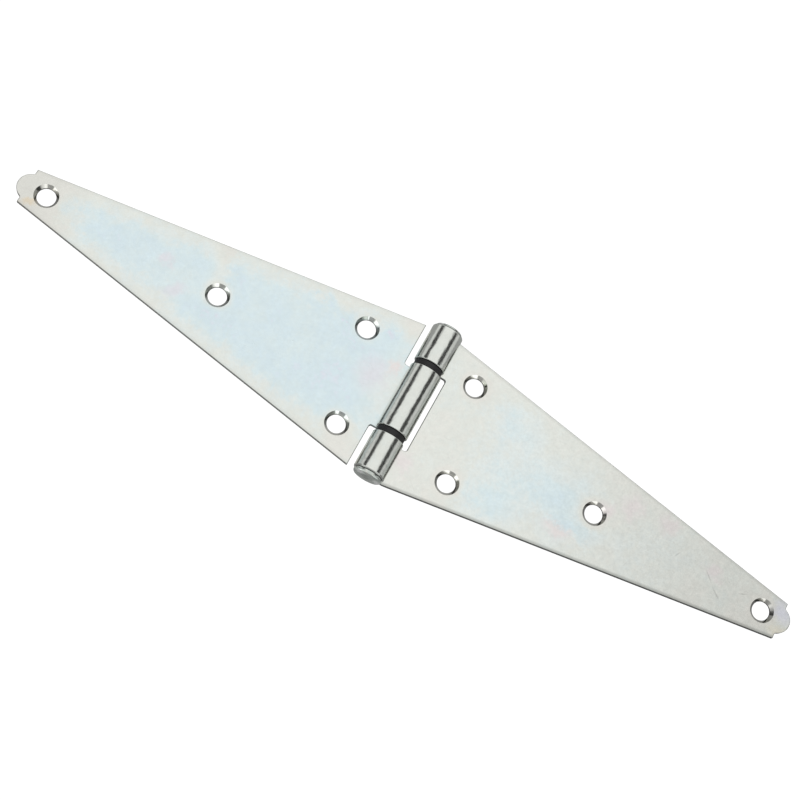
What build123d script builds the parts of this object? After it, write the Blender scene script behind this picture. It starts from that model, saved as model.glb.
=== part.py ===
"""Heavy strap hinge, 8 inch size, lying open and flat on its back.

+X runs from the pin along the right leaf, +Y along the pin, +Z out of the countersunk faces.
z = 0 is the mounting plane of both leaves, and the pin axis crosses x = 0, y = 0.
"""
import os
from math import cos, radians, sin

from build123d import *

os.makedirs("parts", exist_ok=True)

# plate and barrel, mm
leaf_length = 203.2        # pin axis to the end of the nose, 8 inches
plate = 2.6                # sheet thickness, 12 gauge
pin_r = 5.0
eye_play = 0.05            # radial play of the pin in the steel eyes
bore_r = pin_r + eye_play
barrel_r = bore_r + plate
axis_z = barrel_r          # the barrel's underside is flush with the backs
curl_end = -39.0           # degrees, where the rolled strip stops short of the plate

# widths along the pin
half_width = 38.7          # leaf and barrel at the pin
taper_start = 7.7          # from the pin axis, where the leaf's sides start to close in
centre_end = 16.6          # half length of the centre eye
outer_start = 19.6         # inner end of each outer eye
notch_x = 10.26            # notch edge from the pin axis
notch_corner = 1.2

# ornamental tip: square shoulders, a cove each side and a round nose
shoulder_x = 198.5
shoulder_y = 8.95
shoulder_r = 0.4
nose_r = 6.4
cove_r = 1.0

# countersunk screw holes: two staggered by the barrel, two on the centre line
hole_r = 4.45
sink_r = 5.8
sink_angle = 82.0
hole_places = [(23.5, 24.1), (33.2, -22.5), (99.4, 0.0), (188.7, 0.0)]

# edges
edge_break = 0.4
end_round = 0.9            # outer rims at the two ends of the barrel
sink_break = 0.15
touch = 0.001              # how near a point counts as on a plane

# spacer rings, one in each gap between eyes
ring_r = 6.95
ring_bore_r = pin_r + 0.08
ring_play = 0.05
ring_break = 0.25

# pin heads: a full one at the lower end, a thinner peened one at the upper end
head_seat = 0.2            # end play, from the barrel's end face to each head
head_break = 0.15          # edge of a head next to the barrel
lower_head_r = 7.0
lower_head_out = 1.75      # from the barrel's end face to the head's rim
lower_head_rim = 1.2
lower_head_dome = 0.6      # extra height at the head's centre
upper_head_r = 6.6
upper_head_out = 0.95
upper_head_rim = 0.6
upper_head_dome = 0.4

centre_eye = [(-centre_end, centre_end)]
outer_eyes = [(-half_width, -outer_start), (outer_start, half_width)]
beside_centre_eye = [(-half_width, -centre_end), (centre_end, half_width)]
between_outer_eyes = [(-outer_start, outer_start)]


def around_barrel(radius, degrees):
    """Point in the XZ plane at an angle up from +X, seen from the pin axis."""
    turn = radians(degrees)
    return (radius * cos(turn), axis_z + radius * sin(turn))


def eye_profile(high):
    """Section of one rolled eye with a short tail of flat strip, on the plane y = high."""
    half_way = (curl_end - 90) / 2 + 180
    with BuildSketch(Plane.XZ.offset(-high)) as section:
        with BuildLine():
            Line((taper_start, 0), (0, 0))
            ThreePointArc(
                (0, 0), around_barrel(barrel_r, half_way), around_barrel(barrel_r, curl_end)
            )
            Line(around_barrel(barrel_r, curl_end), around_barrel(bore_r, curl_end))
            ThreePointArc(
                around_barrel(bore_r, curl_end), around_barrel(bore_r, half_way), (0, plate)
            )
            Line((0, plate), (taper_start, plate))
            Line((taper_start, plate), (taper_start, 0))
        make_face()
    return section.sketch


def leaf_outline(gaps):
    """Flat outline of a leaf along +X, cut back to notch_x over each gap of Y."""
    with BuildSketch() as outline:
        with BuildLine():
            Polyline(
                (0, -half_width),
                (taper_start, -half_width),
                (shoulder_x, -shoulder_y),
                (shoulder_x, shoulder_y),
                (taper_start, half_width),
                (0, half_width),
                close=True,
            )
        make_face()
        with Locations((leaf_length - nose_r, 0)):
            Circle(nose_r)
        for low, high in gaps:
            with Locations((notch_x / 2, (low + high) / 2)):
                Rectangle(notch_x, high - low, mode=Mode.SUBTRACT)
        tip = outline.vertices().filter_by(lambda v: v.X > shoulder_x - touch)
        fillet(tip.filter_by(lambda v: abs(v.Y) < nose_r), cove_r)
        fillet(tip.filter_by(lambda v: abs(v.Y) > nose_r), shoulder_r)
        notch = outline.vertices().filter_by(lambda v: abs(v.X - notch_x) < touch)
        fillet(notch.filter_by(lambda v: abs(v.Y) < outer_start + touch), notch_corner)
    return outline.sketch


def is_barrel_end(edge):
    """True for the outer circular rims at the two ends of the barrel."""
    at_end = all(abs(abs(p.Y) - half_width) < touch for p in edge.vertices())
    return at_end and edge.geom_type == GeomType.CIRCLE and abs(edge.radius - barrel_r) < touch


def is_sheet_rim(edge):
    """True for the sheared rims of both faces and for the circular rims of the eyes."""
    points = edge.vertices()
    radius = edge.radius if edge.geom_type == GeomType.CIRCLE else 0
    if all(abs(p.X) < touch for p in points) and not radius:
        return False
    on_back = all(abs(p.Z) < touch for p in points)
    on_front = all(abs(p.Z - plate) < touch for p in points)
    return on_back or on_front or abs(radius - barrel_r) < touch or abs(radius - bore_r) < touch


def make_leaf(eyes, gaps):
    """A leaf that points along +X, with an eye over each span in eyes and open over gaps."""
    with BuildPart() as leaf:
        extrude(leaf_outline(gaps), amount=plate)
        for low, high in eyes:
            extrude(eye_profile(high), amount=high - low)
        barrel_ends = leaf.edges().filter_by(is_barrel_end)
        if barrel_ends:
            fillet(barrel_ends, end_round)
        fillet(leaf.edges().filter_by(is_sheet_rim), edge_break)
        with Locations(*[(x, y, plate) for x, y in hole_places]):
            CounterSinkHole(hole_r, sink_r, counter_sink_angle=sink_angle)
        rims = leaf.edges().filter_by(GeomType.CIRCLE)
        fillet(rims.filter_by(lambda e: abs(e.radius - sink_r) < touch), sink_break)
    return leaf.part


centre_eye_leaf = make_leaf(centre_eye, beside_centre_eye)
with BuildPart() as left_leaf:
    add(centre_eye_leaf, rotation=(0, 0, 180))
left_leaf.part.label = "left_leaf"
export_step(left_leaf.part, "parts/left_leaf.step")

outer_eye_leaf = make_leaf(outer_eyes, between_outer_eyes)
with BuildPart() as right_leaf:
    add(outer_eye_leaf)
right_leaf.part.label = "right_leaf"
export_step(right_leaf.part, "parts/right_leaf.step")


def half_pin(radius, out, rim, dome):
    """Half section of the pin, from its middle to a low domed head, along +Y."""
    top = (0, half_width + out + dome)
    with BuildSketch() as section:
        with BuildLine():
            Polyline(
                (0, 0),
                (pin_r, 0),
                (pin_r, half_width + head_seat),
                (radius, half_width + head_seat),
                (radius, half_width + out),
            )
            TangentArc(top, (radius, half_width + out), tangent=(1, 0))
            Line(top, (0, 0))
        make_face()
        corners = section.vertices().filter_by(lambda v: v.X > radius - touch)
        fillet(corners.sort_by(Axis.Y)[-1], rim)
        fillet(corners.sort_by(Axis.Y)[0], head_break)
    return section.sketch


upper_half = half_pin(upper_head_r, upper_head_out, upper_head_rim, upper_head_dome)
lower_half = half_pin(lower_head_r, lower_head_out, lower_head_rim, lower_head_dome)
with BuildPart() as hinge_pin:
    with BuildSketch(Plane.XY.offset(axis_z)):
        add(upper_half)
        mirror(lower_half, about=Plane.XZ)
    revolve(axis=Axis((0, 0, axis_z), (0, 1, 0)))
hinge_pin.part.label = "hinge_pin"
export_step(hinge_pin.part, "parts/hinge_pin.step")

gap_middle = (centre_end + outer_start) / 2
ring_thickness = outer_start - centre_end - 2 * ring_play
for name, middle in (("ring_upper", gap_middle), ("ring_lower", -gap_middle)):
    with BuildPart() as ring:
        with BuildSketch(Plane.XZ.offset(-middle - ring_thickness / 2)):
            with Locations((0, axis_z)):
                Circle(ring_r)
                Circle(ring_bore_r, mode=Mode.SUBTRACT)
        extrude(amount=ring_thickness)
        fillet(ring.edges().filter_by(GeomType.CIRCLE), ring_break)
    ring.part.label = name
    export_step(ring.part, f"parts/{name}.step")
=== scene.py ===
"""Looks, light and camera for the heavy strap hinge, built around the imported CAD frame."""

from math import radians

import bpy
from mathutils import Matrix, Vector


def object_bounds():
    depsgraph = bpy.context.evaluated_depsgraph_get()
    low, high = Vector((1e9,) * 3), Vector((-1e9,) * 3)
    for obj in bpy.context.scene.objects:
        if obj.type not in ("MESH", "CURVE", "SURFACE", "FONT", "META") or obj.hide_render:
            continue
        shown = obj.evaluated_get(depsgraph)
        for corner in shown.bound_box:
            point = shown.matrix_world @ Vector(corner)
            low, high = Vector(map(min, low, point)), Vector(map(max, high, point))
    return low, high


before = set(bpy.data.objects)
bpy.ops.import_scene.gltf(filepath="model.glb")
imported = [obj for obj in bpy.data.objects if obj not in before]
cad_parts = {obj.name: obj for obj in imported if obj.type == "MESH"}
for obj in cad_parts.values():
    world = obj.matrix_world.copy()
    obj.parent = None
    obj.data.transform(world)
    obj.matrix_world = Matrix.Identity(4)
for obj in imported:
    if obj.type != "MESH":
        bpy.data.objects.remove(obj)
cad_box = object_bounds()

MM = 0.001

# camera: the photograph's viewing angle, aimed at a point on the mounting plane
AZIMUTH = radians(-5.256)
ELEVATION = radians(72.07)
ROLL = radians(35.077)
AIM = Vector((-3.705, 1.155, 0.0)) * MM
DISTANCE = 731.2 * MM
LENS = 71.885
SENSOR = 36.0

# sheet metal, mm
HALF_WIDTH = 38.7
TAPER_START = 7.7
SHOULDER_X = 198.5
SHOULDER_Y = 8.95
TAPER = (HALF_WIDTH - SHOULDER_Y) / (SHOULDER_X - TAPER_START)
PLATE = 2.6
BARREL_R = 7.65
SINK_R = 5.8
HOLES = ((23.5, 24.1), (33.2, -22.5), (99.4, 0.0), (188.7, 0.0))

# ragged outlines on the sheet, mm: size of the noise, its reach, and what it does to the rim
STIR_SIZE = 8.0
STIR_REACH = 16.0
STIR_RIM = 12.0

# what changes the film's thickness, on a scale from thin and straw to thick and blue
FILM_ON_BARREL = 0.40
FILM_LEAST = 0.22
FILM_AT_HOLES = -0.28
FILM_CLOUDS = 0.62
FILM_WISPS = 0.42
FILM_WISPS_ON_BARREL = 0.30

# what changes the sheet's brightness
GRAIN_SHADE = 0.15
SPECKLE_SHADE = 0.16
SCUFF_SHADE = -0.22
STROKE_SHADE = -0.12
MOTTLE_SHADE = 0.10
BARREL_SHADE = -0.03
FRACTURE_SHADE = 0.25
# painted shade on the countersink walls, a painted highlight over the countersinks, painted shade on
# their sides
SINK_WALL_PAINTED_SHADE = -0.22
SINK_PAINTED_HIGHLIGHT = 0.08
SINK_SIDE_PAINTED_SHADE = -0.52
# painted shade on the ends of the rolled eyes
EYE_END_PAINTED_SHADE = -0.45

# studio, in metres and light levels
FLOOR_REACH = 12.0
FLOOR_GREY = 0.20
FLOOR_GLOW = 0.20
FLOOR_CAMERA_GLOW = 0.72
WORLD_STRENGTH = 2.0


# ---------------------------------------------------------------- node helpers


class Nodes:
    """Short-hand for adding linked shader nodes to one tree."""

    def __init__(self, tree):
        self.tree = tree
        tree.nodes.clear()

    def add(self, kind, **settings):
        made = self.tree.nodes.new(kind)
        for name, value in settings.items():
            setattr(made, name, value)
        return made

    def feed(self, socket, value):
        """Link a socket to a socket, or set its own value."""
        if isinstance(value, bpy.types.NodeSocket):
            self.tree.links.new(value, socket)
        elif isinstance(value, tuple) and len(value) == 3 and socket.type == "RGBA":
            socket.default_value = (*value, 1.0)
        else:
            socket.default_value = value

    def math(self, operation, a, b=0.0, c=0.0):
        made = self.add("ShaderNodeMath", operation=operation)
        for socket, value in zip(made.inputs, (a, b, c)):
            self.feed(socket, value)
        return made.outputs[0]

    def centred(self, value):
        """Noise moved down by a half, so that it swings about zero."""
        return self.math("SUBTRACT", value, 0.5)

    def length(self, vector):
        made = self.add("ShaderNodeVectorMath", operation="LENGTH")
        self.feed(made.inputs[0], vector)
        return made.outputs["Value"]

    def smooth(self, value, start, end):
        """0 on start's side, 1 on end's side, smooth between them; start may be the higher."""
        made = self.add("ShaderNodeMapRange", interpolation_type="SMOOTHSTEP")
        for name, item in (("Value", value), ("From Min", start), ("From Max", end)):
            self.feed(made.inputs[name], item)
        return made.outputs["Result"]

    def ramp(self, value, stops):
        made = self.add("ShaderNodeValToRGB")
        elements = made.color_ramp.elements
        while len(elements) < len(stops):
            elements.new(0.5)
        for element, (place, colour) in zip(elements, stops):
            element.position = place
            element.color = (*colour, 1.0)
        self.feed(made.inputs["Fac"], value)
        return made.outputs["Color"]

    def mix(self, factor, a, b, blend="MIX"):
        made = self.add("ShaderNodeMix", data_type="RGBA", blend_type=blend)
        self.feed(made.inputs["Factor"], factor)
        self.feed(made.inputs["A"], a)
        self.feed(made.inputs["B"], b)
        return made.outputs["Result"]

    def shaded(self, tint, shade):
        """A tint with all three channels multiplied by one shade."""
        grey = self.add("ShaderNodeCombineColor")
        for channel in ("Red", "Green", "Blue"):
            self.feed(grey.inputs[channel], shade)
        return self.mix(1.0, tint, grey.outputs[0], blend="MULTIPLY")

    def place(self, vector, scale=(1, 1, 1), turn=0.0, shift=(0, 0, 0)):
        made = self.add("ShaderNodeMapping", vector_type="TEXTURE")
        self.feed(made.inputs["Vector"], vector)
        made.inputs["Scale"].default_value = scale
        made.inputs["Rotation"].default_value = (0, 0, turn)
        made.inputs["Location"].default_value = shift
        return made.outputs["Vector"]

    def noise_node(self, vector, size, detail, rough, distortion=0.0):
        """A noise node whose features are about size across, in the units of vector."""
        made = self.add("ShaderNodeTexNoise")
        self.feed(made.inputs["Vector"], vector)
        made.inputs["Scale"].default_value = 1.0 / size
        made.inputs["Detail"].default_value = detail
        made.inputs["Roughness"].default_value = rough
        made.inputs["Distortion"].default_value = distortion
        return made

    def noise(self, vector, size, detail=2.0, rough=0.5, distortion=0.0):
        return self.noise_node(vector, size, detail, rough, distortion).outputs["Fac"]

    def bump(self, height, strength, depth, normal=None):
        """A normal tilted by height; depth is in mm."""
        made = self.add("ShaderNodeBump")
        made.inputs["Distance"].default_value = depth * MM
        self.feed(made.inputs["Strength"], strength)
        self.feed(made.inputs["Height"], height)
        if normal is not None:
            self.feed(made.inputs["Normal"], normal)
        return made.outputs[0]

    def surface(self, colour, roughness, normal, metallic):
        """End the tree in one Principled shader."""
        shader = self.add("ShaderNodeBsdfPrincipled")
        shader.inputs["Metallic"].default_value = metallic
        self.feed(shader.inputs["Base Color"], colour)
        self.feed(shader.inputs["Roughness"], roughness)
        self.feed(shader.inputs["Normal"], normal)
        out = self.add("ShaderNodeOutputMaterial")
        self.feed(out.inputs["Surface"], shader.outputs[0])


def new_material(name):
    material = bpy.data.materials.new(name)
    material.use_nodes = True
    return material, Nodes(material.node_tree)


def millimetres(n):
    """Object coordinates in mm, their x, y, z, and the object-space normal's x, y, z."""
    coords = n.add("ShaderNodeTexCoord")
    scaled = n.add("ShaderNodeVectorMath", operation="SCALE")
    n.feed(scaled.inputs[0], coords.outputs["Object"])
    scaled.inputs["Scale"].default_value = 1.0 / MM
    place = n.add("ShaderNodeSeparateXYZ")
    n.feed(place.inputs[0], scaled.outputs[0])
    facing = n.add("ShaderNodeSeparateXYZ")
    n.feed(facing.inputs[0], coords.outputs["Normal"])
    return scaled.outputs[0], place.outputs, facing.outputs


def scratches(n, mm, layers):
    """Thin straight scuffs: noise drawn out along a few directions, kept only at its peaks.

    Each layer is (turn in degrees, length, width, share of the noise that shows).
    """
    total = 0.0
    for turn, length, width, share in layers:
        drawn = n.place(mm, scale=(length, width, length), turn=radians(turn))
        line = n.smooth(n.noise(drawn, 1.0, detail=1.0), 1.0 - share, 1.06 - share)
        area = n.smooth(n.noise(mm, length * 0.9), 0.5, 0.62)
        total = n.math("MAXIMUM", n.math("MULTIPLY", line, area), total)
    return total


def patch(n, coords, centre, reach, turn=0.0):
    """1 in the middle of an oval, 0 outside it; stirred coordinates give it a ragged edge."""
    oval = n.place(coords, scale=(*reach, 1000.0), turn=radians(turn), shift=(*centre, 0.0))
    return n.smooth(n.length(oval), 1.35, 0.15)


# ---------------------------------------------------------------- zinc sheet

FILM_COLOURS = (
    (0.20, (0.818, 0.812, 0.758)),
    (0.40, (0.800, 0.825, 0.775)),
    (0.56, (0.785, 0.840, 0.820)),
    (0.72, (0.735, 0.838, 0.850)),
    (0.88, (0.705, 0.825, 0.868)),
    (1.00, (0.770, 0.790, 0.865)),
)
SCUFF_LAYERS = (
    (12.0, 9.0, 0.10, 0.30),
    (-37.0, 6.0, 0.08, 0.29),
    (71.0, 7.0, 0.09, 0.29),
    (118.0, 5.0, 0.07, 0.28),
    (139.0, 14.0, 0.14, 0.28),
)


def stirred(n, mm):
    """Ragged coordinates for all that dried or ran on the surface, and the noise behind them."""
    stir = n.noise_node(mm, STIR_SIZE, detail=6.0, rough=0.72)
    middle = n.add("ShaderNodeVectorMath", operation="ADD")
    n.feed(middle.inputs[0], mm)
    middle.inputs[1].default_value = (-STIR_REACH / 2, -STIR_REACH / 2, 0.0)
    spread = n.add("ShaderNodeVectorMath", operation="MULTIPLY_ADD")
    n.feed(spread.inputs[0], stir.outputs["Color"])
    spread.inputs[1].default_value = (STIR_REACH, STIR_REACH, 0.0)
    n.feed(spread.inputs[2], middle.outputs[0])
    return spread.outputs[0], stir.outputs["Fac"]


def hole_distance(n, mm, side):
    """Distance in mm from the axis of the nearest screw hole."""
    nearest = 100.0
    for hole_x, hole_y in HOLES:
        offset = n.add("ShaderNodeVectorMath", operation="MULTIPLY_ADD")
        n.feed(offset.inputs[0], mm)
        offset.inputs[1].default_value = (1.0, 1.0, 0.0)
        offset.inputs[2].default_value = (-side * hole_x, -side * hole_y, 0.0)
        nearest = n.math("MINIMUM", n.length(offset.outputs[0]), nearest)
    return nearest


def film_tint(n, mm, to_true_rim, from_hole, on_barrel, film_rim, film_middle, fade, drifts, stains):
    """Colour of the film: thin at the rim, thicker inwards, with drifts, clouds and stains."""
    ragged, stir = stirred(n, mm)
    to_rim = n.math("MULTIPLY_ADD", n.centred(stir), STIR_RIM, to_true_rim)
    inward = n.smooth(to_rim, 0.5, fade)
    film = n.math("MULTIPLY_ADD", inward, film_middle - film_rim, film_rim)
    near_hole = n.smooth(from_hole, SINK_R + 3.5, SINK_R - 1.0)
    film = n.math("MULTIPLY_ADD", near_hole, FILM_AT_HOLES, film)
    for centre, reach, turn, change in drifts:
        film = n.math("MULTIPLY_ADD", patch(n, ragged, centre, reach, turn), change, film)
    elsewhere = n.place(mm, shift=(40.0, 8.0, 0.0))
    clouds = n.noise(elsewhere, 30.0, detail=4.0, rough=0.55, distortion=0.6)
    film = n.math("MULTIPLY_ADD", n.centred(clouds), FILM_CLOUDS, film)
    wisps = n.centred(n.noise(mm, 4.0, detail=5.0, rough=0.75))
    film = n.math("MULTIPLY_ADD", wisps, FILM_WISPS, film)
    to_barrel = n.math("SUBTRACT", FILM_ON_BARREL, film)
    film = n.math("MULTIPLY_ADD", to_barrel, on_barrel, film)
    barrel_wisps = n.math("MULTIPLY", on_barrel, FILM_WISPS_ON_BARREL)
    film = n.math("MULTIPLY_ADD", wisps, barrel_wisps, film)
    tint = n.ramp(n.math("MAXIMUM", film, FILM_LEAST), FILM_COLOURS)
    for centre, reach, turn, colour in stains:
        tint = n.mix(patch(n, ragged, centre, reach, turn), tint, colour)
    return tint


def worn_and_painted_shade(n, mm, along, on_barrel, grain, speckle, scuffs, strokes, grit, painted_falloff):
    """Brightness of the open surface: grain, mottling, scuffs and a painted shade darkening slowly to
    the nose.
    """
    texture = n.math("MULTIPLY", n.centred(grain), GRAIN_SHADE)
    texture = n.math("MULTIPLY_ADD", n.centred(speckle), SPECKLE_SHADE, texture)
    texture = n.math("MULTIPLY_ADD", scuffs, SCUFF_SHADE, texture)
    for centre, reach, turn in strokes:
        texture = n.math("MULTIPLY_ADD", patch(n, mm, centre, reach, turn), STROKE_SHADE, texture)
    grit_at_pin, grit_at_nose = grit
    to_nose = n.smooth(along, 0.0, 190.0)
    strength = n.math("MULTIPLY_ADD", to_nose, grit_at_nose - grit_at_pin, grit_at_pin)
    shade = n.math("MULTIPLY_ADD", texture, strength, 1.0)
    mottle = n.noise(mm, 6.0, detail=3.0, rough=0.6)
    shade = n.math("MULTIPLY_ADD", n.centred(mottle), MOTTLE_SHADE, shade)
    shade = n.math("MULTIPLY_ADD", on_barrel, BARREL_SHADE, shade)
    # painted shade, darker towards the nose
    start, end, loss = painted_falloff
    falloff = n.smooth(along, start, end)
    return n.math("MULTIPLY", shade, n.math("MULTIPLY_ADD", falloff, -loss, 1.0))


def sheared(n, normal_z, in_hole, on_plate):
    """1 on the sheared edges and countersinks of the plate, 0 on its flat faces."""
    flat = n.math("ABSOLUTE", normal_z)
    outer_cut = n.math("MULTIPLY", n.smooth(flat, 0.96, 0.60), n.math("SUBTRACT", 1.0, in_hole))
    upright = n.math("MAXIMUM", n.smooth(flat, 0.75, 0.25), outer_cut)
    return n.math("MULTIPLY", upright, on_plate)


def edge_shade(n, y, normal, true_rim, in_hole, on_plate, on_barrel, cut, fracture, cut_steel_and_painted_shade, rim_painted_shade):
    """Brightness kept at the sheared edges, with painted shade and a painted highlight in the
    countersinks, and painted shade along the rims and at eye ends.
    """
    # the sheared edges: their own darker steel plus painted shade
    cut_level = n.math("MULTIPLY_ADD", n.centred(fracture), FRACTURE_SHADE, cut_steel_and_painted_shade)
    # painted shade on the countersink walls, then a painted highlight over the whole countersink
    cut_level = n.math("MULTIPLY_ADD", in_hole, SINK_WALL_PAINTED_SHADE, cut_level)
    keep = n.math("MULTIPLY_ADD", n.math("SUBTRACT", cut_level, 1.0), cut, 1.0)
    keep = n.math("MULTIPLY", keep, n.math("MULTIPLY_ADD", in_hole, SINK_PAINTED_HIGHLIGHT, 1.0))

    # painted shade on the two sides of each countersink, and along the rims, more on one half
    facing_x = n.smooth(n.math("ABSOLUTE", normal["X"]), 0.42, 0.66)
    painted_sink_sides = n.math("MULTIPLY", in_hole, facing_x)
    keep = n.math("MULTIPLY", keep, n.math("MULTIPLY_ADD", painted_sink_sides, SINK_SIDE_PAINTED_SHADE, 1.0))
    # painted shade along the rim, heavier on the -Y half
    loss_above, loss_below = rim_painted_shade
    lower_half = n.smooth(y, 1.0, -1.0)
    loss = n.math("MULTIPLY_ADD", lower_half, loss_below - loss_above, loss_above)
    near_rim = n.smooth(true_rim, 1.9, 0.5)
    painted_rim_darkening = n.math("MULTIPLY", n.math("MULTIPLY", near_rim, loss), on_plate)
    keep = n.math("MULTIPLY", keep, n.math("SUBTRACT", 1.0, painted_rim_darkening))

    # painted shade on the sheared ends of the rolled eyes, which dims their highlight
    facing_y = n.smooth(n.math("ABSOLUTE", normal["Y"]), 0.15, 0.50)
    painted_eye_end = n.math("MULTIPLY", on_barrel, facing_y)
    return n.math("MULTIPLY", keep, n.math("MULTIPLY_ADD", painted_eye_end, EYE_END_PAINTED_SHADE, 1.0))


def zinc_sheet(name, side, film_rim, film_middle, fade, drifts, stains, painted_falloff, cut_steel_and_painted_shade,
               rim_painted_shade, grit, strokes):
    """Bright zinc plate: a thin film drifting through pale colours, grain, scuffs and cut edges.

    side: 1 for the leaf along +X, -1 for the one along -X
    film_rim, film_middle, fade: the film at the rim, the film inside, and the mm between them
    drifts: ovals of thicker or thinner film, (centre, reach, turn in degrees, change)
    stains: ovals of one colour, (centre, reach, turn in degrees, colour)
    painted_falloff: (start, end, loss), a painted shade darkening from start to end mm along the leaf
    cut_steel_and_painted_shade: brightness of the sheared edges, their own darker steel and painted
    shade
    rim_painted_shade: painted shade along the rim, on the +Y half and on the -Y half
    grit: strength of the fine texture at the pin and at the nose
    strokes: single scratches, (centre, reach, turn in degrees)
    """
    material, n = new_material(name)
    mm, (x, y, z), normal = millimetres(n)
    along = n.math("ABSOLUTE", x)
    half = n.math("SUBTRACT", HALF_WIDTH + TAPER * TAPER_START, n.math("MULTIPLY", along, TAPER))
    true_rim = n.math("SUBTRACT", half, n.math("ABSOLUTE", y))
    from_hole = hole_distance(n, mm, side)
    in_hole = n.smooth(from_hole, SINK_R + 0.1, SINK_R - 0.1)
    on_barrel = n.smooth(z, PLATE + 0.2, PLATE + 1.4)
    on_plate = n.smooth(z, PLATE + 0.3, PLATE - 0.1)
    cut = sheared(n, normal["Z"], in_hole, on_plate)

    grain = n.noise(mm, 0.8, detail=4.0, rough=0.7)
    speckle = n.noise(mm, 1.8, detail=2.0, rough=0.6)
    scuffs = scratches(n, mm, SCUFF_LAYERS)
    fracture = n.noise(n.place(mm, scale=(1.0, 1.0, 0.25)), 0.6, detail=3.0, rough=0.7)

    tint = film_tint(n, mm, true_rim, from_hole, on_barrel, film_rim, film_middle, fade, drifts, stains)
    shade = worn_and_painted_shade(n, mm, along, on_barrel, grain, speckle, scuffs, strokes, grit, painted_falloff)
    keep = edge_shade(n, y, normal, true_rim, in_hole, on_plate, on_barrel, cut, fracture,
                      cut_steel_and_painted_shade, rim_painted_shade)
    colour = n.shaded(tint, n.math("MULTIPLY", shade, keep))

    roughness = n.math("MULTIPLY_ADD", grain, 0.10, 0.13)
    roughness = n.math("MULTIPLY_ADD", scuffs, 0.12, roughness)
    roughness = n.math("MULTIPLY_ADD", cut, 0.22, roughness)
    roughness = n.math("MULTIPLY_ADD", in_hole, -0.07, roughness)

    height = n.math("MULTIPLY_ADD", scuffs, -0.6, n.math("MULTIPLY", grain, 0.5))
    height = n.math("MULTIPLY_ADD", speckle, 0.5, height)
    height = n.math("MULTIPLY_ADD", n.math("MULTIPLY", cut, fracture), 3.0, height)
    fine = n.bump(height, strength=0.15, depth=0.02)

    # the rolled eyes are not quite true
    ripple = n.noise(n.place(mm, scale=(1.0, 1.6, 1.0)), 3.0, detail=2.0, rough=0.5)
    rolled = n.bump(ripple, strength=n.math("MULTIPLY", on_barrel, 0.6), depth=0.22, normal=fine)
    n.surface(colour, roughness, rolled, metallic=1.0)
    return material


# ---------------------------------------------------------------- pin and rings


def zinc_pin():
    """Plated pin: spun rings on the formed heads, a little duller than the sheet."""
    material, n = new_material("zinc_pin_steel")
    mm, place = millimetres(n)[:2]
    x = place["X"]
    up = n.math("SUBTRACT", place["Z"], BARREL_R)
    radius = n.math("SQRT", n.math("ADD", n.math("MULTIPLY", x, x), n.math("MULTIPLY", up, up)))
    wobble = n.noise(mm, 2.5, detail=2.0)
    rings = n.math("SINE", n.math("MULTIPLY", n.math("ADD", radius, wobble), 9.0))
    grain = n.noise(mm, 0.7, detail=4.0, rough=0.65)
    dents = n.noise(mm, 2.2, detail=2.0)
    tint = n.ramp(dents, (
        (0.30, (0.50, 0.54, 0.51)),
        (0.55, (0.60, 0.64, 0.60)),
        (0.75, (0.70, 0.71, 0.66)),
    ))

    # painted highlights as two light patches and painted shade as a dark one on the heads
    shade = n.math("MULTIPLY_ADD", n.centred(grain), 0.20, 1.0)
    face = n.add("ShaderNodeCombineXYZ")
    n.feed(face.inputs["X"], n.math("MULTIPLY_ADD", n.centred(wobble), 3.0, x))
    n.feed(face.inputs["Y"], n.math("MULTIPLY_ADD", n.centred(dents), 3.0, up))
    for centre, reach, turn, change in (
        ((5.3, 0.2), (1.5, 3.4), 20.0, 1.50),
        ((-4.0, 4.0), (2.8, 1.4), 30.0, 1.10),
        ((-0.8, 1.4), (3.2, 3.2), 0.0, -0.30),
    ):
        shade = n.math("MULTIPLY_ADD", patch(n, face.outputs[0], centre, reach, turn), change, shade)

    roughness = n.math("MULTIPLY_ADD", grain, 0.16, 0.18)
    height = n.math("ADD", n.math("MULTIPLY", rings, 0.25), n.math("MULTIPLY", dents, 2.5))
    tilted = n.bump(height, strength=0.25, depth=0.06)
    n.surface(n.shaded(tint, shade), roughness, tilted, metallic=1.0)
    return material


def black_plastic():
    """Moulded black plastic with a fine satin grain and uneven wear."""
    material, n = new_material("black_plastic_ring")
    mm = millimetres(n)[0]
    grain = n.noise(mm, 0.35, detail=3.0, rough=0.6)
    wear = n.noise(mm, 3.0, detail=2.0)
    blend = n.math("ADD", n.math("MULTIPLY", grain, 0.5), n.math("MULTIPLY", wear, 0.5))
    colour = n.ramp(blend, (
        (0.30, (0.004, 0.004, 0.005)),
        (0.70, (0.011, 0.011, 0.012)),
    ))
    roughness = n.math("MULTIPLY_ADD", wear, 0.2, 0.4)
    n.surface(colour, roughness, n.bump(grain, strength=0.2, depth=0.03), metallic=0.0)
    return material


# ---------------------------------------------------------------- each piece's look

ROSE = (0.825, 0.785, 0.768)
AMBER = (0.830, 0.745, 0.600)
MAUVE = (0.772, 0.788, 0.825)
LILAC = (0.790, 0.800, 0.865)
STRAW = (0.830, 0.800, 0.690)


def dress(node, material):
    """Give a CAD node one material in every slot."""
    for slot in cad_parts[node].material_slots:
        slot.material = material


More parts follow.
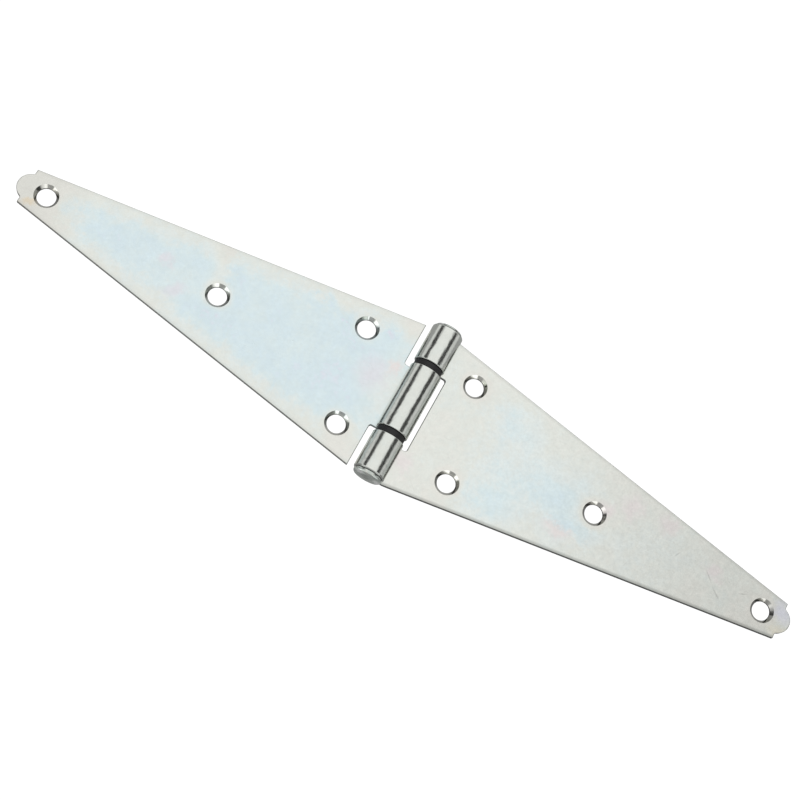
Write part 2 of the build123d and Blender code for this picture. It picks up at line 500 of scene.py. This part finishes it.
dress("left_leaf", zinc_sheet(
    "zinc_left", side=-1, film_rim=0.40, film_middle=0.80, fade=13.0,
    drifts=(
        ((-194.0, 0.0), (24.0, 22.0), 0.0, -0.42),
        ((-104.0, 13.0), (6.0, 13.0), 15.0, -0.30),
        ((-14.0, 34.0), (9.0, 9.0), 0.0, -0.30),
        ((-16.0, -29.0), (10.0, 9.0), 0.0, -0.30),
        ((-12.0, 8.0), (9.0, 26.0), 0.0, -0.24),
        ((-56.0, 26.0), (5.0, 3.5), -40.0, 0.26),
        ((-48.0, 22.5), (11.0, 1.8), -25.0, 0.14),
        ((-24.0, 24.0), (16.0, 1.8), 33.0, 0.14),
        ((-45.0, -14.0), (16.0, 10.0), 0.0, 0.08),
    ),
    stains=(
        ((-194.5, -6.5), (4.5, 3.0), 30.0, AMBER),
        ((-128.0, 2.5), (4.5, 3.5), 0.0, MAUVE),
        ((-118.0, -8.5), (6.5, 3.6), 30.0, MAUVE),
        ((-20.5, 5.0), (9.0, 9.5), 0.0, MAUVE),
        ((-13.0, 13.0), (3.0, 5.0), 0.0, ROSE),
    ),
    painted_falloff=(165.0, 200.0, 0.08), cut_steel_and_painted_shade=0.50, rim_painted_shade=(0.06, 0.08), grit=(0.55, 0.60),
    strokes=(),
))
dress("right_leaf", zinc_sheet(
    "zinc_right", side=1, film_rim=0.34, film_middle=0.36, fade=8.0,
    drifts=(
        ((66.0, -2.0), (34.0, 24.0), -20.0, 0.30),
        ((47.0, 18.0), (16.0, 10.0), 0.0, 0.24),
        ((52.0, -23.0), (16.0, 9.0), 10.0, 0.28),
        ((80.0, -5.0), (12.0, 9.0), 0.0, 0.14),
        ((97.0, -11.0), (14.0, 5.0), 8.0, 0.28),
        ((187.0, 9.0), (4.0, 3.0), 0.0, -0.12),
    ),
    stains=(
        ((11.0, -25.0), (5.0, 6.0), 0.0, ROSE),
        ((104.0, 4.0), (4.0, 5.0), 0.0, ROSE),
        ((114.0, 11.0), (6.0, 7.0), 0.0, ROSE),
        ((133.0, 13.0), (6.0, 5.0), 0.0, ROSE),
        ((88.0, -16.0), (8.0, 4.0), 0.0, ROSE),
        ((160.0, 5.0), (6.0, 4.0), 0.0, ROSE),
        ((198.0, 4.5), (6.5, 5.0), 0.0, LILAC),
        ((199.5, -5.0), (5.0, 3.5), 0.0, STRAW),
    ),
    painted_falloff=(40.0, 200.0, 0.225), cut_steel_and_painted_shade=0.30, rim_painted_shade=(0.14, 0.40), grit=(0.70, 1.70),
    strokes=(
        ((159.5, 1.4), (3.2, 0.40), -42.0),
        ((165.8, -4.2), (3.6, 0.45), -36.0),
        ((177.5, 2.2), (2.6, 0.35), 24.0),
        ((142.0, 3.0), (2.4, 0.35), 60.0),
    ),
))
dress("hinge_pin", zinc_pin())
plastic = black_plastic()
dress("ring_upper", plastic)
dress("ring_lower", plastic)


# ---------------------------------------------------------------- studio

# light level by lean from straight up, in degrees, towards -X below 0 and +X above
SKY_WITH_GAPS = (
    (-180, 0.40), (-90, 0.70), (-71, 0.78), (-64, 0.03), (-46, 0.03), (-38, 0.93),
    (0, 0.95), (33, 0.93), (41, 0.03), (62, 0.03), (69, 0.70), (90, 0.63), (180, 0.40),
)
OPEN_SKY = (
    (-180, 0.40), (-90, 0.65), (-40, 0.85), (0, 0.95), (40, 0.85), (90, 0.65), (180, 0.40),
)
# light level low down in front, by degrees from -Y to either side
HORIZON = (
    (0, 0.32), (19, 0.32), (26, 1.45), (64, 1.40), (75, 0.08), (98, 0.06), (180, 0.06),
)
WALL_BEHIND = 1.04
WALL_BEHIND_LOW = 0.32
WALL_IN_FRONT = 0.84
WHITE = 1.0


def floor():
    """Plain pale floor, white to the camera and grey to all that reflects it.

    It lies a leaf's length below the hinge, so that either leaf can hang down from the other.
    """
    level = cad_box[0][2] - cad_box[1][0]
    quarters = ((-1, -1), (1, -1), (1, 1), (-1, 1))
    corners = [(sx * FLOOR_REACH, sy * FLOOR_REACH, level) for sx, sy in quarters]
    mesh = bpy.data.meshes.new("floor")
    mesh.from_pydata(corners, [], [(0, 1, 2, 3)])
    table = bpy.data.objects.new("floor", mesh)
    bpy.context.scene.collection.objects.link(table)
    material, n = new_material("pale_floor")
    diffuse = n.add("ShaderNodeBsdfDiffuse")
    diffuse.inputs["Color"].default_value = (FLOOR_GREY, FLOOR_GREY, FLOOR_GREY, 1.0)
    path = n.add("ShaderNodeLightPath")
    to_camera = path.outputs["Is Camera Ray"]
    glow = n.add("ShaderNodeEmission")
    glow.inputs["Color"].default_value = (1.0, 1.0, 1.0, 1.0)
    n.feed(glow.inputs["Strength"], n.math("MULTIPLY_ADD", to_camera, FLOOR_CAMERA_GLOW, FLOOR_GLOW))
    both = n.add("ShaderNodeAddShader")
    n.feed(both.inputs[0], diffuse.outputs[0])
    n.feed(both.inputs[1], glow.outputs[0])
    out = n.add("ShaderNodeOutputMaterial")
    n.feed(out.inputs["Surface"], both.outputs[0])
    mesh.materials.append(material)


def grey(level):
    """The world colour that gives a light level once the background multiplies it."""
    return (level / WORLD_STRENGTH,) * 3


def by_angle(n, angle, stops):
    """Light level from (degrees, level) stops that span the whole range of the angle."""
    first, last = stops[0][0], stops[-1][0]
    span = last - first
    share = n.math("MULTIPLY_ADD", angle, 1.0 / radians(span), -first / span)
    return n.ramp(share, [((degrees - first) / span, grey(level)) for degrees, level in stops])


def studio_light():
    """A broad overhead softbox along the pin, a dark gap each side of it, and grey walls."""
    world = bpy.data.worlds.new("studio")
    bpy.context.scene.world = world
    world.use_nodes = True
    n = Nodes(world.node_tree)
    coords = n.add("ShaderNodeTexCoord")
    way = n.add("ShaderNodeSeparateXYZ")
    n.feed(way.inputs[0], coords.outputs["Generated"])
    x, y, z = way.outputs

    # the dark gaps are slots, so that faces seen from the sides don't go black
    lean = n.math("ARCTAN2", x, z)
    slot = n.math("MULTIPLY", n.smooth(y, 0.05, 0.16), n.smooth(y, 0.58, 0.48))
    light = n.mix(slot, by_angle(n, lean, OPEN_SKY), by_angle(n, lean, SKY_WITH_GAPS))
    far_wall = n.mix(n.smooth(z, 0.44, 0.34), grey(WALL_BEHIND), grey(WALL_BEHIND_LOW))
    light = n.mix(n.smooth(y, 0.62, 0.75), light, far_wall)
    light = n.mix(n.smooth(y, -0.25, -0.40), light, grey(WALL_IN_FRONT))

    # low down in front: a dark doorway with a bright wall each side, and dark corners beyond
    around = n.math("ARCTAN2", n.math("ABSOLUTE", x), n.math("MULTIPLY", y, -1.0))
    low = n.smooth(z, 0.31, 0.23)
    in_front = n.smooth(around, radians(106), radians(99))
    light = n.mix(n.math("MULTIPLY", low, in_front), light, by_angle(n, around, HORIZON))

    path = n.add("ShaderNodeLightPath")
    light = n.mix(path.outputs["Is Camera Ray"], light, grey(WHITE))
    back = n.add("ShaderNodeBackground")
    n.feed(back.inputs["Color"], light)
    back.inputs["Strength"].default_value = WORLD_STRENGTH
    out = n.add("ShaderNodeOutputWorld")
    n.feed(out.inputs["Surface"], back.outputs[0])


def camera():
    """The photograph's camera, turned about its own axis by ROLL."""
    data = bpy.data.cameras.new("camera")
    data.lens = LENS
    data.sensor_width = SENSOR
    data.clip_start = 0.01
    seat = bpy.data.objects.new("camera", data)
    bpy.context.scene.collection.objects.link(seat)
    turned = Matrix.Rotation(AZIMUTH, 4, "Z") @ Matrix.Rotation(radians(90) - ELEVATION, 4, "X")
    turned = turned @ Matrix.Rotation(ROLL, 4, "Z")
    back = turned.to_3x3() @ Vector((0, 0, 1))
    seat.matrix_world = Matrix.Translation(AIM + back * DISTANCE) @ turned
    bpy.context.scene.camera = seat


floor()
studio_light()
camera()
bpy.context.scene.view_settings.view_transform = "Standard"
